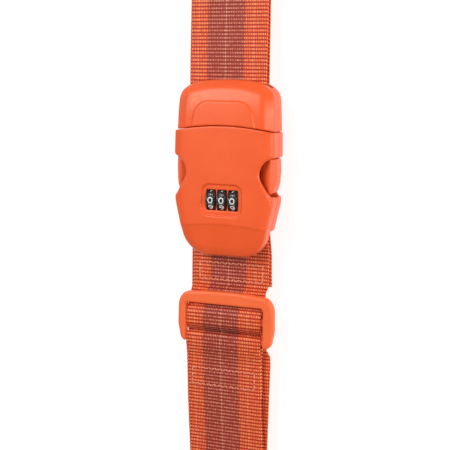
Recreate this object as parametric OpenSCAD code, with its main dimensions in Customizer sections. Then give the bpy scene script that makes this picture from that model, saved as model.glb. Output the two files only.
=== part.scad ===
// Luggage strap: 50 mm ribbed webbing, a three-dial combination side-release buckle and a three-bar slider.
// It lies on its back with the spare webbing folded flat underneath. X is across the strap, Y runs along it
// towards the plug end, and Z is up, out of the face with the dials.

/* [Webbing] */
// Width of the webbing
web_w = 50; // [48:0.5:50]
// Thickness of the webbing
web_t = 1.4; // [1.2:0.1:1.4]
// Height from one folded layer to the next
layer_pitch = 1.7; // [1.7:0.05:1.75]
// Number of spare runs folded under the buckle (an odd number)
back_runs = 5; // [3:2:5]
// Length of the folded strap, fold to fold
fold_span = 310; // [306:1:330]
// Sideways step of each folded layer
layer_step = 0.7; // [0:0.1:0.8]
// Length of one lockstitch
stitch_l = 2.4; // [1.8:0.1:2.8]

/* [Case] */
// Widest part of the buckle, across the socket's collar
case_w = 65; // [65:0.5:67]
// Thickness of the buckle, without the dials
case_t = 19.5; // [19.5:0.1:20]
// Y of the buckle's socket end
case_low = -15.5; // [-16:0.5:-15]
// Y of the buckle's plug end
case_high = 93.2; // [93:0.1:94]
// Thickness of the case walls
wall = 1.8; // [1.6:0.1:1.8]
// Y of the seam between plug and socket on the centre line
seam_y = 64.5; // [64:0.5:65]
// Gap between plug and socket at the seam
seam_gap = 0.4; // [0.3:0.05:0.6]
// Radius of the seam seen from the front
seam_r = 150; // [140:1:200]

/* [Dials] */
// Radius of a dial wheel
dial_r = 8; // [7.6:0.1:8]
// Width of a dial wheel
dial_w = 5.7; // [5.4:0.1:5.7]
// Distance between neighbouring dials
dial_step = 7.1; // [7.1:0.1:7.3]
// Y of the dial axis
dial_y = 19.6; // [19:0.1:20]
// Width of the dished recess round the dials
recess_w = 26; // [25:0.5:27]
// Length of the dished recess round the dials
recess_l = 19.2; // [18:0.2:20]
// Depth of the dished recess
recess_d = 1.2; // [0.8:0.1:1.2]

/* [Latch] */
// X of the arms' roots, from the centre line
arm_x = 25.6; // [25.4:0.1:25.7]
// Y of the arms' roots
arm_y = 67; // [66.5:0.1:67.5]
// How far the plug slides out
plug_travel = 46; // [44:1:60]
// How far the blocking slide moves back when both buttons are pressed
block_travel = 1.8; // [1.5:0.1:1.8]

/* [Slider] */
// Width of the slider
slider_w = 64.2; // [64:0.2:66]
// Thickness of the slider's frame
slider_t = 5.8; // [4.5:0.1:6]
// Y of the slider's upper edge
slider_high = -38.8; // [-39.2:0.1:-38.6]
// X of the slider's middle
slider_x = -1.2; // [-1.4:0.1:-1]
// Y of the slider's lower edge
slider_low = -73; // [-73.2:0.1:-72.8]

/* [Hidden] */

orange = [0.91, 0.34, 0.14];
web_orange = [0.84, 0.30, 0.12];
black = [0.06, 0.06, 0.07];
steel = [0.72, 0.73, 0.75];
thread = [0.93, 0.42, 0.20];
eps = 0.01;

// levels, from the surface that the strap lies on
stack_top = (back_runs - 1) * layer_pitch + web_t;
case_z = stack_top + 0.4;
case_top = case_z + case_t;
split_z = case_z + 7.8;
floor_z = case_z + wall;
roof_z = case_top - 2.7;
bar_z = case_z + 5.7;
bar_r = 2.2;
dial_z = case_top - 7.5;
shaft_r = 2;
sleeve_r = 4.4;
flange_r = 5.2;
run_fit = 0.05;

// radius of the plug's end seen from the front
plug_end_r = 84;

// the webbing's paths, as points of its middle line in Y and Z
plug_bar_y = 75;
socket_bar_y = 3.5;
plug_bar_half = case_w / 2 - 2.6;
socket_bar_half = case_w / 2 - 5.2;
loop_r = bar_r + 0.15 + web_t / 2;
front_y = fold_span / 2;
sewn_gap = web_t + 0.1;
tail_z = stack_top + 0.75 + web_t / 2;

slider_z = tail_z + 1.75;
slider_bar_z = slider_z + 0.5;
slider_bar_t = 3.1;
opening_w = web_w + 1.8;
// the slider's opening and the webbing in it lie off its middle
opening_x = -1;
slider_bar_y = slider_low + 3.4;
middle_bar_y = -57;
wrap_r = slider_bar_t / 2 + run_fit + web_t / 2;

function unit(v) = v / norm(v);
function side(p, i) =
    let (d = unit(p[min(i + 1, len(p) - 1)] - p[max(i - 1, 0)])) [-d[1], d[0]];
function ribbon(p, t) = concat(
    [for (i = [0:len(p) - 1]) p[i] + side(p, i) * t / 2],
    [for (i = [len(p) - 1:-1:0]) p[i] - side(p, i) * t / 2]
);
// points round an arc, from angle a to angle b
function turn(c, r, a, b, n = 12) = [
    for (i = [0:n]) c + r * [cos(a + (b - a) * i / n), sin(a + (b - a) * i / n)]
];
// a soft S from p to q, level at both ends
function ease(p, q, n = 8) = [for (i = [0:n]) let (u = i / n) [
    p[0] + (q[0] - p[0]) * u, p[1] + (q[1] - p[1]) * u * u * (3 - 2 * u)
]];

module web(path, x = 0) {
    translate([x - web_w / 2, 0, 0]) rotate([90, 0, 90]) linear_extrude(web_w) polygon(ribbon(path, web_t));
}

// outlines seen from the front
module mirrored() {
    children();
    mirror([1, 0, 0]) children();
}

module pair(x, y, r) {
    mirrored() translate([x, y]) circle(r, $fn = 64);
}

module socket_outline(inset = 0) {
    offset(delta = -inset) hull() {
        pair(10.8, case_low + 17, 17);
        pair(case_w / 2 - 8.6, 19, 8);
        mirrored() translate([0, 40]) square([case_w / 2, 6]);
        mirrored() translate([0, 50]) square([case_w / 2 - 0.5, seam_y + 5 - 50]);
    }
}

module plug_outline(inset = 0) {
    offset(delta = -inset) intersection() {
        hull() {
            pair(case_w / 2 - 16.5, case_high - 15, 15);
            mirrored() translate([0, 50]) square([case_w / 2 - 0.8, 14]);
        }
        translate([0, case_high - plug_end_r]) circle(plug_end_r, $fn = 360);
    }
}

module seam_disc(gap = 0) {
    translate([0, seam_y - seam_r]) circle(seam_r + gap, $fn = 360);
}

module window_cut() {
    mirrored() hull() {
        translate([case_w / 2 + 1.2, 36.2]) circle(10, $fn = 48);
        translate([case_w / 2 - 1, 23.7]) circle(1.5, $fn = 24);
        translate([case_w / 2 + 6, 36]) square([4, 9]);
    }
}

module slab(z0, z1) {
    translate([0, 0, z0]) linear_extrude(z1 - z0) children();
}

module rounded_box(w, l, r) {
    hull() for (x = [-1, 1], y = [-1, 1]) translate([x * (w / 2 - r), y * (l / 2 - r)]) circle(r, $fn = 32);
}

screw_places = [[26, 11.5], [18, 54]];
plug_screw_x = 18.5;

module at_screws() {
    mirrored() for (p = screw_places) translate(p) children();
}

// socket
module socket_front_shell() color(orange) difference() {
    union() {
        difference() {
            hull() {
                slab(split_z, case_top - 4) intersection() { socket_outline(); seam_disc(); }
                slab(case_top - eps, case_top) intersection() { socket_outline(3.4); seam_disc(-0.6); }
            }
            slab(split_z - 1, case_top - 5) socket_outline(wall);
            slab(case_top - 5 - eps, roof_z) socket_outline(wall + 3.2);
        }
        slab(split_z, roof_z + 0.4) at_screws() circle(2.6, $fn = 32);
        slab(split_z + 2.6, roof_z + 0.4) translate([-21.5, 11]) square([3, 4]);
    }
    slab(split_z - 1, split_z + 6) at_screws() circle(1.1, $fn = 32);
    slab(case_z, case_top + 1) window_cut();
    slab(case_top - recess_d, case_top + 1) translate([0, dial_y]) rounded_box(recess_w, recess_l, 5);
    slab(roof_z - 1, roof_z + 0.7) translate([0, dial_y]) square([recess_w, 2 * dial_r - 1.4], center = true);
    for (i = [-1:1]) translate([i * dial_step, dial_y, 0]) slab(roof_z - 1, case_top + 1)
        square([dial_w + 0.6, 12.4], center = true);
    web_bar(socket_bar_y, socket_bar_half);
}

module socket_rear_shell() color(orange) difference() {
    union() {
        difference() {
            slab(case_z, split_z) intersection() { socket_outline(); seam_disc(); }
            slab(floor_z, split_z + 1) socket_outline(wall);
        }
        slab(floor_z - eps, split_z) at_screws() circle(2.6, $fn = 32);
        mirrored() slab(floor_z - eps, floor_z + 3) translate([14.2, 18.4]) square([5.2, 1.6]);
    }
    slab(case_z - 1, split_z + 1) translate([-40, -40]) square([80, 41]);
    slab(case_z - 1, split_z + 1) at_screws() circle(1.25, $fn = 32);
    slab(case_z - 1, case_z + 3.6) at_screws() circle(2.1, $fn = 32);
    slab(case_z - 1, split_z + 1) window_cut();
    slab(case_z - 1, split_z) translate([-20, 13]) circle(2 + run_fit, $fn = 48);
    web_bar(socket_bar_y, socket_bar_half);
}

module web_bar(y, half) {
    translate([-half, y, bar_z]) rotate([0, 90, 0]) cylinder(r = bar_r, h = 2 * half, $fn = 48);
}

module socket_web_bar() color(steel) web_bar(socket_bar_y, socket_bar_half);

module screw(z, length) {
    translate([0, 0, z]) cylinder(r = 2, h = 1.6, $fn = 32);
    translate([0, 0, z + 1.6 - eps]) cylinder(r = 1.05, h = length, $fn = 32);
}

module socket_screws() color(steel) at_screws() screw(case_z + 2, 9.5);

// dials and what holds them
// X of the arm at which the catches and the button are drawn
arm_datum = 26.9;
cheek_x = dial_step + dial_w / 2 + 1.9;
flange_t = 0.85;

module dial_frame() color(steel) difference() {
    union() {
        translate([-cheek_x - 1.6, 12.4, floor_z]) cube([2 * cheek_x + 3.2, 12.2, 1.1]);
        mirrored() translate([cheek_x, 15.6, floor_z]) cube([1.6, 8, dial_z + 3.6 - floor_z]);
    }
    translate([-20, dial_y, dial_z]) rotate([0, 90, 0]) cylinder(r = shaft_r, h = 40, $fn = 48);
}

module dial_shaft() color(steel) translate([-cheek_x - 2.4, dial_y, dial_z]) rotate([0, 90, 0])
    cylinder(r = shaft_r, h = 2 * cheek_x + 4.8, $fn = 48);

module dial_wheel(i) color(black) translate([i * dial_step - dial_w / 2, dial_y, dial_z]) rotate([0, 90, 0])
difference() {
    cylinder(r = dial_r, h = dial_w, $fn = 96);
    translate([0, 0, -1]) cylinder(r = sleeve_r + run_fit, h = dial_w + 2, $fn = 64);
    for (k = [0:9]) rotate([0, 0, 36 * k + 18]) translate([dial_r + 0.35, 0, -1])
        cylinder(r = 0.8, h = dial_w + 2, $fn = 16);
}

module dial_sleeve(i) color(steel) translate([i * dial_step, dial_y, dial_z]) rotate([0, 90, 0])
difference() {
    union() {
        translate([0, 0, -dial_w / 2 - 0.2]) cylinder(r = sleeve_r, h = dial_w + 0.3, $fn = 64);
        difference() {
            translate([0, 0, dial_w / 2 + 0.05]) cylinder(r = flange_r, h = flange_t, $fn = 64);
            translate([-6, 3.4, dial_w / 2]) cube([12, 6, 2]);
        }
    }
    translate([0, 0, -5]) cylinder(r = shaft_r + run_fit, h = 12, $fn = 48);
}

module detent_spring() color(steel) {
    translate([-11, dial_y - dial_r - 1.9, floor_z]) cube([22, 0.6, 9]);
    for (i = [-1:1]) translate([i * dial_step - 2, dial_y - dial_r - 1.3 - eps, floor_z + 8])
        cube([4, 0.8, 1]);
}

// the slide that both arms push back when the code is right
slide_z = floor_z + 1;
slide_t = 1.8;
finger_y = dial_y + flange_r + 0.3 + block_travel;

module blocking_slide() color(steel) {
    slab(slide_z, slide_z + slide_t) {
        translate([-11.2, finger_y]) square([22.4, 4.6]);
        mirrored() translate([arm_x - arm_datum, 0])
            polygon([[-8, 30], [19.7, 30], [19.7, 32], [16.4, 34], [-8, 34]]);
    }
    for (i = [-1:1]) translate([i * dial_step + dial_w / 2 + 0.3, finger_y, slide_z + slide_t - eps])
        cube([0.8, 2.6, 9]);
}

// a flat zigzag spring from y0 to y1
module zigzag(w, y0, y1, folds) {
    path = [for (i = [0:folds]) [i % 2 == 0 ? 0 : w, y0 + (y1 - y0) * i / folds]];
    polygon(ribbon(path, 0.5));
}

module blocking_springs() color(steel) mirrored() slab(slide_z + 0.2, slide_z + 1.6)
    translate([14.7, 0]) zigzag(4, 20.3, 29.4, 7);

module reset_button() color(steel) translate([-20, 13, case_z]) {
    cylinder(r = 2, h = floor_z + 1 - case_z, $fn = 48);
    translate([0, 0, floor_z + 0.2 - case_z]) cylinder(r = 3, h = 1.2, $fn = 48);
}

module reset_spring() color(steel) translate([-21.5, 12.3, 0]) rotate([90, 0, 0]) mirror([0, 0, 1])
    linear_extrude(1.4) zigzag(3, floor_z + 1.8, split_z + 2.2, 5);

// plug
module panel_outline(inset = 0) {
    offset(delta = -inset) hull() {
        pair(10.5, 70, 9.5);
        mirrored() translate([0, 55]) square([21.4, 5]);
    }
}

module plug_front_cover() color(orange) difference() {
    union() {
        difference() {
            union() {
                hull() {
                    slab(split_z, case_z + 12.6) plug_outline();
                    slab(case_top - 1.2, case_top - 1) intersection() {
                        plug_outline(4.2);
                        translate([-40, 40]) square([80, 33]);
                    }
                    slab(case_z + 14.4, case_z + 14.5) plug_outline(3);
                }
                hull() {
                    slab(case_top - 4, case_top - 3.9) panel_outline();
                    slab(case_top - eps, case_top) panel_outline(1.2);
                }
            }
            slab(split_z - 1, case_z + 11) difference() {
                plug_outline(wall);
                translate([-40, case_high - wall]) square([80, 20]);
            }
            slab(case_z + 11 - eps, roof_z - 0.6) intersection() {
                plug_outline(wall + 4.5);
                translate([-40, 40]) square([80, 31]);
            }
        }
        slab(prong_high + 0.3, roof_z) mirrored() translate([plug_screw_x, arm_y]) circle(2.6, $fn = 32);
    }
    slab(case_z, case_z + 15.6) mirrored() translate([plug_screw_x, arm_y]) circle(1.1, $fn = 32);
    slab(case_z, case_top + 1) seam_disc(seam_gap);
    web_bar(plug_bar_y, plug_bar_half);
}

module plug_rear_cover() color(orange) difference() {
    slab(case_z, split_z) plug_outline();
    slab(floor_z, split_z + 1) plug_outline(wall);
    slab(floor_z, split_z + 1) translate([-web_w / 2 - 1.6, 78]) square([web_w + 3.2, 20]);
    slab(case_z - 1, split_z + 1) seam_disc(seam_gap);
    slab(case_z - 1, floor_z + 1) mirrored() translate([plug_screw_x, arm_y]) circle(1.25, $fn = 32);
    slab(case_z - 1, case_z + 0.9) mirrored() translate([plug_screw_x, arm_y]) circle(2.1, $fn = 32);
    web_bar(plug_bar_y, plug_bar_half);
}

module plug_web_bar() color(steel) web_bar(plug_bar_y, plug_bar_half);

module plug_screws() color(steel) mirrored() translate([plug_screw_x, arm_y, case_z]) {
    cylinder(r = 2, h = 0.9, $fn = 32);
    translate([0, 0, 0.9 - eps]) cylinder(r = 1.05, h = 14, $fn = 32);
}

prong_low = floor_z + 0.3;
prong_high = case_z + 10.6;

module prong_base() color(orange) difference() {
    union() {
        slab(prong_low, prong_high) translate([-arm_x - 3.1, seam_y + 0.6]) square([2 * arm_x + 6.2, 5.4]);
        slab(bar_z - 0.4, bar_z + 3.4) hull() {
            mirrored() translate([8, 37]) circle(2, $fn = 32);
            mirrored() translate([0, seam_y]) square([12, 2]);
        }
    }
    slab(prong_low - 1, prong_high + 1) mirrored() {
        translate([arm_x, arm_y]) circle(2.6, $fn = 48);
        translate([arm_x - 2.7, arm_y - 6]) square([5.4, 5]);
        translate([plug_screw_x, arm_y]) circle(1.3, $fn = 32);
    }
}

arm_low = floor_z + 0.6;
button_high = case_z + 14.2;

module button_outline() {
    translate([arm_x - arm_datum, 0]) polygon([
        [24.6, 44.4], [25.8, 45.5], [32.8, 45.5], [33.5, 44.8], [33.7, 38], [33.4, 31.6], [32.5, 27.2],
        [31.2, 24.9], [29.4, 24.2], [27.2, 25.6], [25.2, 30], [24.6, 34]
    ]);
}

module latch_arm() color(orange) {
    slab(arm_low + 1.6, prong_high - 0.4) {
        translate([arm_x, arm_y]) circle(2.2, $fn = 48);
        translate([arm_x - 1.4, 45]) square([2.8, arm_y - 45]);
    }
    slab(arm_low, button_high) button_outline();
    slab(slide_z - 0.2, slide_z + slide_t + 0.2) translate([arm_x - arm_datum, 0])
        polygon([[26, 29.9], [25, 29.9], [21.9, 31.2], [21.6, 33], [22.6, 36], [26, 36]]);
}

module latch_arm_right() latch_arm();
module latch_arm_left() mirror([1, 0, 0]) latch_arm();

// slider
module slider_outline() {
    hull() {
        pair(slider_w / 2 - 11.2, slider_high - 11, 11);
        pair(slider_w / 2 - 6, slider_high - 22, 6);
        pair(slider_w / 2 - 6.4, slider_low + 5, 5);
    }
}

module slider() color(orange) translate([slider_x, 0, 0]) {
    difference() {
        slab(slider_z, slider_z + slider_t) slider_outline();
        slab(slider_z - 1, slider_z + slider_t + 1) translate([opening_x, -58.2])
            rounded_box(opening_w, 21.6, 2);
        slab(slider_z - 1, slider_z + slider_t + 1) translate([opening_x - opening_w / 2, slider_low - 3])
            square([opening_w, 9.6]);
    }
    translate([opening_x - web_w / 2 - 1.6, middle_bar_y - 2.5, slider_z + 0.2]) cube([web_w + 3.2, 5, 3]);
    translate([opening_x - web_w / 2 - 1.6, slider_bar_y - 2.2, slider_bar_z]) {
        cube([web_w + 3.2, 2.8, slider_bar_t]);
        translate([0, 2.8, slider_bar_t / 2]) rotate([0, 90, 0])
            cylinder(r = slider_bar_t / 2, h = web_w + 3.2, $fn = 48);
    }
}

// webbing
sewn_front_z = tail_z + sewn_gap;
sewn_low_z = tail_z + 4.05;
over_bar_z = slider_z + 3.2 + run_fit + web_t / 2;
under_rail_z = slider_z - run_fit - web_t / 2;

sewn_path = concat(
    [[-34.4, sewn_front_z - sewn_gap]],
    ease([-15, sewn_front_z - sewn_gap], [socket_bar_y, bar_z - loop_r]),
    turn([socket_bar_y, bar_z], loop_r, -75, 75),
    ease([socket_bar_y, bar_z + loop_r], [-15, sewn_front_z]),
    ease([-34.8, sewn_front_z], [-38.6, under_rail_z], 4),
    [[-43, under_rail_z]]
);
over_path = concat(
    [[-42.8, under_rail_z]],
    ease([-47.6, under_rail_z], [-54.2, over_bar_z], 7),
    ease([-59.8, over_bar_z], [-67.2, tail_z], 7),
    [[-76, tail_z]]
);

front_low_z = sewn_low_z - 0.4;
outer_r = (front_low_z - web_t / 2) / 2;
wrap_z = slider_bar_z + slider_bar_t / 2;

slider_loop_path = concat(
    [[-106, sewn_low_z - sewn_gap]],
    ease([-84, sewn_low_z - sewn_gap], [slider_bar_y - 2.2, wrap_z - wrap_r], 6),
    turn([slider_bar_y + 0.6, wrap_z], wrap_r, -80, 80),
    ease([slider_bar_y - 2.2, wrap_z + wrap_r], [-84, sewn_low_z], 6),
    [[-108, sewn_low_z]]
);
low_fold_path = concat(
    ease([-107.8, sewn_low_z], [outer_r + web_t / 2 - front_y, front_low_z], 6),
    turn([outer_r + web_t / 2 - front_y, front_low_z - outer_r], outer_r, 100, 269)
);

fold_y = front_y - 6;
plug_run_end = 60;

function run_z(i) = web_t / 2 + (back_runs - i) * layer_pitch;
function run_x(i) = -1.8 - layer_step * i;

top_front_z = bar_z - 1.3;
top_r = (top_front_z - run_z(1)) / 2;
top_y = front_y - top_r - web_t / 2;

// run i of the spare webbing, and the fold from it to the next
module spare_run(i, y0, y1) web([[y0, run_z(i)], [y1, run_z(i)]], run_x(i));

module spare_fold(i) {
    s = i % 2 == 0 ? 1 : -1;
    web(
        turn([s * fold_y, (run_z(i) + run_z(i + 1)) / 2], layer_pitch / 2, 90, 90 - s * 180, 8),
        (run_x(i) + run_x(i + 1)) / 2
    );
}

module strap_adjuster() color(web_orange) {
    web(sewn_path, 0.8);
    web(over_path, slider_x + opening_x - 0.2);
    web([[-75.8, tail_z], [-142, tail_z]], 0.5);
}

module strap_main() color(web_orange) {
    web(slider_loop_path, slider_x + opening_x - 0.3);
    web(low_fold_path, -1);
    spare_run(back_runs, outer_r + web_t / 2 - front_y - 0.2, fold_y + 0.1);
    for (i = [2:back_runs - 1]) spare_run(i, -fold_y - 0.1, fold_y + 0.1);
    spare_run(1, -fold_y - 0.1, plug_run_end);
    for (i = [1:back_runs - 1]) spare_fold(i);
}

plug_run_x = -0.9;
plug_path = concat(
    [[87.6, bar_z - 0.8]],
    ease([81, bar_z - 0.8], [plug_bar_y + 1.3, bar_z - loop_r], 5),
    turn([plug_bar_y, bar_z], loop_r, -85, -275),
    ease([plug_bar_y + 1.3, bar_z + loop_r], [81, bar_z + sewn_gap - 0.8], 5),
    ease([92, bar_z + sewn_gap - 0.8], [top_y, top_front_z], 6),
    turn([top_y, top_front_z - top_r], top_r, 80, -89)
);

module strap_plug_end() color(web_orange) {
    web(plug_path, plug_run_x);
    spare_run(1, plug_run_end + 0.5, top_y + 0.2);
}

// a box of lockstitches, two rows across and two along, on the level stretch of webbing at height z
module stitch_box(y0, y1, z) color(thread) {
    half = web_w / 2 - 4;
    across = floor(2 * half / (stitch_l + 1));
    along = floor((y1 - y0) / (stitch_l + 1));
    for (y = [y0, y1], i = [0:across - 1])
        translate([-half + i * 2 * half / across, y - 0.3, z]) cube([stitch_l, 0.6, 0.3]);
    for (x = [-half - 0.9, half + 0.3], i = [0:along - 1])
        translate([x, y0 + 0.9 + i * (y1 - y0 - 0.9) / along, z]) cube([0.6, stitch_l, 0.3]);
}

module stitches_socket_loop() translate([0.8, 0, 0]) stitch_box(-32.2, -21.6, sewn_front_z + web_t / 2);
module stitches_slider_loop() translate([slider_x + opening_x - 0.3, 0, 0])
    stitch_box(-100.2, -89.6, sewn_low_z + web_t / 2);
module stitches_plug_loop() translate([plug_run_x, 0, 0])
    stitch_box(81.6, 86.2, bar_z + sewn_gap - 0.8 + web_t / 2);

socket_front_shell();
socket_rear_shell();
socket_web_bar();
socket_screws();
dial_frame();
dial_shaft();
dial_wheel(-1);  // dial_wheel_left
dial_wheel(0);  // dial_wheel_middle
dial_wheel(1);  // dial_wheel_right
dial_sleeve(-1);  // dial_sleeve_left
dial_sleeve(0);  // dial_sleeve_middle
dial_sleeve(1);  // dial_sleeve_right
detent_spring();
blocking_slide();
blocking_springs();
reset_button();
reset_spring();
plug_front_cover();
plug_rear_cover();
plug_web_bar();
plug_screws();
prong_base();
latch_arm_left();
latch_arm_right();
slider();
strap_adjuster();
strap_main();
strap_plug_end();
stitches_socket_loop();
stitches_slider_loop();
stitches_plug_loop();
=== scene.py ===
"""Luggage strap with a three-dial combination buckle: the looks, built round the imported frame."""
import math

import bmesh
import bpy
import numpy as np
from mathutils import Matrix, Vector


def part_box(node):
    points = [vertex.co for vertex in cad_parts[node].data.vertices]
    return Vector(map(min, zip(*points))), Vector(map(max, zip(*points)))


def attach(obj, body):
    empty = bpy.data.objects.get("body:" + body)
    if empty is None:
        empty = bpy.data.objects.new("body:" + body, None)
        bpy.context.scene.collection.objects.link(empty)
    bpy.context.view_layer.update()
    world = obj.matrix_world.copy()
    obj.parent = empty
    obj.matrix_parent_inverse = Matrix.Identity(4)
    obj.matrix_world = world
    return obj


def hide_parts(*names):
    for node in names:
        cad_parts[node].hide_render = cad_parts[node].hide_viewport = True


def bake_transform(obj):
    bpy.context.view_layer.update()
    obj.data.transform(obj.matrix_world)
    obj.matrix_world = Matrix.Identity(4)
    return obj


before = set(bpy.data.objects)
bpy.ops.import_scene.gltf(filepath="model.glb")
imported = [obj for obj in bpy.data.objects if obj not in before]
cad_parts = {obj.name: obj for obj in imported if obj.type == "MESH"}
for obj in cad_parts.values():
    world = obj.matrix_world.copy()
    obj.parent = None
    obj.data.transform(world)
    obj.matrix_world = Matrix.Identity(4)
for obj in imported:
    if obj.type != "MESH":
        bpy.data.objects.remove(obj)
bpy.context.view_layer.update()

MM = 0.001


def box_mm(node):
    """A node's lowest and highest corners, in millimetres."""
    lo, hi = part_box(node)
    return np.array(lo) / MM, np.array(hi) / MM


# ---------------------------------------------------------------- sizes, in millimetres, from the frame
front_lo, front_hi = box_mm("socket_front_shell")
rear_lo, rear_hi = box_mm("socket_rear_shell")
plug_lo, plug_hi = box_mm("plug_front_cover")
plug_rear_lo = box_mm("plug_rear_cover")[0]
slider_lo, slider_hi = box_mm("slider")
wheel_lo, wheel_hi = box_mm("dial_wheel_middle")
arm_lo, arm_hi = box_mm("latch_arm_right")
bar_lo, bar_hi = box_mm("socket_web_bar")
plug_bar_lo, plug_bar_hi = box_mm("plug_web_bar")

CASE_Z, SPLIT_Z, CASE_TOP = rear_lo[2], rear_hi[2], front_hi[2]
CASE_LOW, CASE_HIGH = front_lo[1], plug_hi[1]
CASE_HALF = front_hi[0]
PLUG_HALF = plug_hi[0]
WALL = 1.8
SEAM_Y = front_hi[1]
SEAM_R = 150.0
SEAM_GAP = 0.4
PLUG_END_R = 84.0

DIAL_Y, DIAL_Z = (wheel_lo[1] + wheel_hi[1]) / 2, (wheel_lo[2] + wheel_hi[2]) / 2
DIAL_R, DIAL_W = (wheel_hi[2] - wheel_lo[2]) / 2, wheel_hi[0] - wheel_lo[0]
DIAL_STEP = box_mm("dial_wheel_right")[0][0] - wheel_lo[0]

WEB_W, WEB_T = 50.0, 1.4
LAYER = 1.7
RUNS = 5
BAR_Z = (bar_lo[2] + bar_hi[2]) / 2
SOCKET_BAR_Y = (bar_lo[1] + bar_hi[1]) / 2
PLUG_BAR_Y = (plug_bar_lo[1] + plug_bar_hi[1]) / 2
BAR_R = (bar_hi[2] - bar_lo[2]) / 2
LOOP_R = BAR_R + 0.15 + WEB_T / 2
FRONT_Y = box_mm("strap_plug_end")[1][1]


# ---------------------------------------------------------------- camera
def make_camera(target, distance, turn, lift, roll, lens):
    """A camera above the face: turn is towards +X and lift towards +Y, in degrees."""
    th, ph, ro = (math.radians(a) for a in (turn, lift, roll))
    back = Vector((math.sin(th) * math.cos(ph), math.sin(ph), math.cos(th) * math.cos(ph)))
    right = Vector((0, 1, 0)).cross(back).normalized()
    up = back.cross(right)
    right, up = right * math.cos(ro) + up * math.sin(ro), up * math.cos(ro) - right * math.sin(ro)
    data = bpy.data.cameras.new("camera")
    data.lens, data.sensor_width = lens, 36.0
    data.clip_start, data.clip_end = 0.01, 10
    cam = bpy.data.objects.new("camera", data)
    bpy.context.scene.collection.objects.link(cam)
    place = Matrix((right, up, back)).transposed().to_4x4()
    place.translation = Vector(target) * MM + back * distance * MM
    cam.matrix_world = place
    bpy.context.scene.camera = cam


make_camera(target=(-2.3, 3.0, 15.3), distance=650, turn=22.0, lift=8.3, roll=0.7, lens=84.4)


# ---------------------------------------------------------------- materials
class Nodes:
    """A short way to build a node material."""

    def __init__(self, name):
        self.material = bpy.data.materials.new(name)
        self.material.use_nodes = True
        self.tree = self.material.node_tree
        self.shader = self.tree.nodes["Principled BSDF"]

    def add(self, kind, **settings):
        node = self.tree.nodes.new(kind)
        for key, value in settings.items():
            if hasattr(node, key):
                setattr(node, key, value)
            else:
                node.inputs[key.replace("_", " ")].default_value = value
        return node

    def link(self, out, into):
        self.tree.links.new(out, into)

    def value(self, operation, a, b=None):
        node = self.add("ShaderNodeMath", operation=operation)
        for i, x in enumerate((a, b)):
            if x is None:
                continue
            if isinstance(x, (int, float)):
                node.inputs[i].default_value = x
            else:
                self.link(x, node.inputs[i])
        return node.outputs[0]

    def mix(self, factor, a, b):
        node = self.add("ShaderNodeMix", data_type="RGBA")
        for socket, x in ((node.inputs["Factor"], factor), (node.inputs[6], a), (node.inputs[7], b)):
            if isinstance(x, (int, float)):
                socket.default_value = x
            elif isinstance(x, tuple):
                socket.default_value = (*x, 1.0)
            else:
                self.link(x, socket)
        return node.outputs[2]

    def noise(self, vector, scale, detail=2.0):
        node = self.add("ShaderNodeTexNoise", Scale=scale, Detail=detail)
        self.link(vector, node.inputs["Vector"])
        return node.outputs["Fac"]

    def ramp(self, x, low, high, a=0.0, b=1.0):
        node = self.add("ShaderNodeMapRange", interpolation_type="SMOOTHSTEP")
        self.link(x, node.inputs["Value"])
        for key, v in (("From Min", low), ("From Max", high), ("To Min", a), ("To Max", b)):
            node.inputs[key].default_value = v
        return node.outputs[0]

    def bump(self, height, strength, distance):
        node = self.add("ShaderNodeBump", Strength=strength, Distance=distance)
        self.link(height, node.inputs["Height"])
        self.link(node.outputs[0], self.shader.inputs["Normal"])

    def set(self, **values):
        for key, v in values.items():
            self.shader.inputs[key.replace("_", " ")].default_value = v


PLAIN = (1.0, 1.0, 1.0)
WARM = (1.0, 0.93, 0.78)


def plastic(name, colour, deep, roughness, grain=0.00004, gloss=PLAIN):
    """Moulded plastic: a fine spark-eroded grain, faint clouding and slightly uneven gloss."""
    m = Nodes(name)
    place = m.add("ShaderNodeTexCoord").outputs["Object"]
    cloud = m.ramp(m.noise(place, scale=60.0, detail=3.0), 0.3, 0.75)
    m.link(m.mix(cloud, deep, colour), m.shader.inputs["Base Color"])
    uneven = m.ramp(m.noise(place, scale=400.0), 0.2, 0.8, roughness - 0.05, roughness + 0.06)
    m.link(uneven, m.shader.inputs["Roughness"])
    m.bump(m.noise(place, scale=5200.0), strength=0.35, distance=grain)
    m.set(IOR=1.45, Coat_Weight=0.06, Coat_Roughness=0.25, Specular_Tint=(*gloss, 1.0))
    return m.material


def steel(name):
    """Pressed steel with a drawn grain."""
    m = Nodes(name)
    place = m.add("ShaderNodeTexCoord").outputs["Object"]
    stretch = m.add("ShaderNodeMapping")
    stretch.inputs["Scale"].default_value = (200, 4000, 4000)
    m.link(place, stretch.inputs["Vector"])
    grain = m.noise(stretch.outputs[0], scale=1.0)
    m.link(m.mix(grain, (0.45, 0.46, 0.48), (0.68, 0.69, 0.71)), m.shader.inputs["Base Color"])
    m.link(m.ramp(grain, 0.2, 0.8, 0.25, 0.42), m.shader.inputs["Roughness"])
    m.set(Metallic=1.0)
    return m.material


RIB = 2.2
YARN = 1.1
BAND = 24.0
BAND_X = -1.6
BAND_BLUR = 0.8
LIGHT_YARN = 18.0
# Yarn colours, each with a lighter copy that is a painted highlight for the rib crests.
ORANGE_YARN, ORANGE_CREST_HIGHLIGHT = (0.95, 0.086, 0.008), (1.0, 0.54, 0.22)
BROWN_YARN, BROWN_CREST_HIGHLIGHT = (0.40, 0.036, 0.016), (1.0, 0.46, 0.28)
LINE_YARN = (0.98, 0.48, 0.28)
# Painted shade for the grooves between ribs, the gaps between yarns and the rows of stitches.
GROOVE_SHADE = (0.21, 0.009, 0.002)


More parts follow.
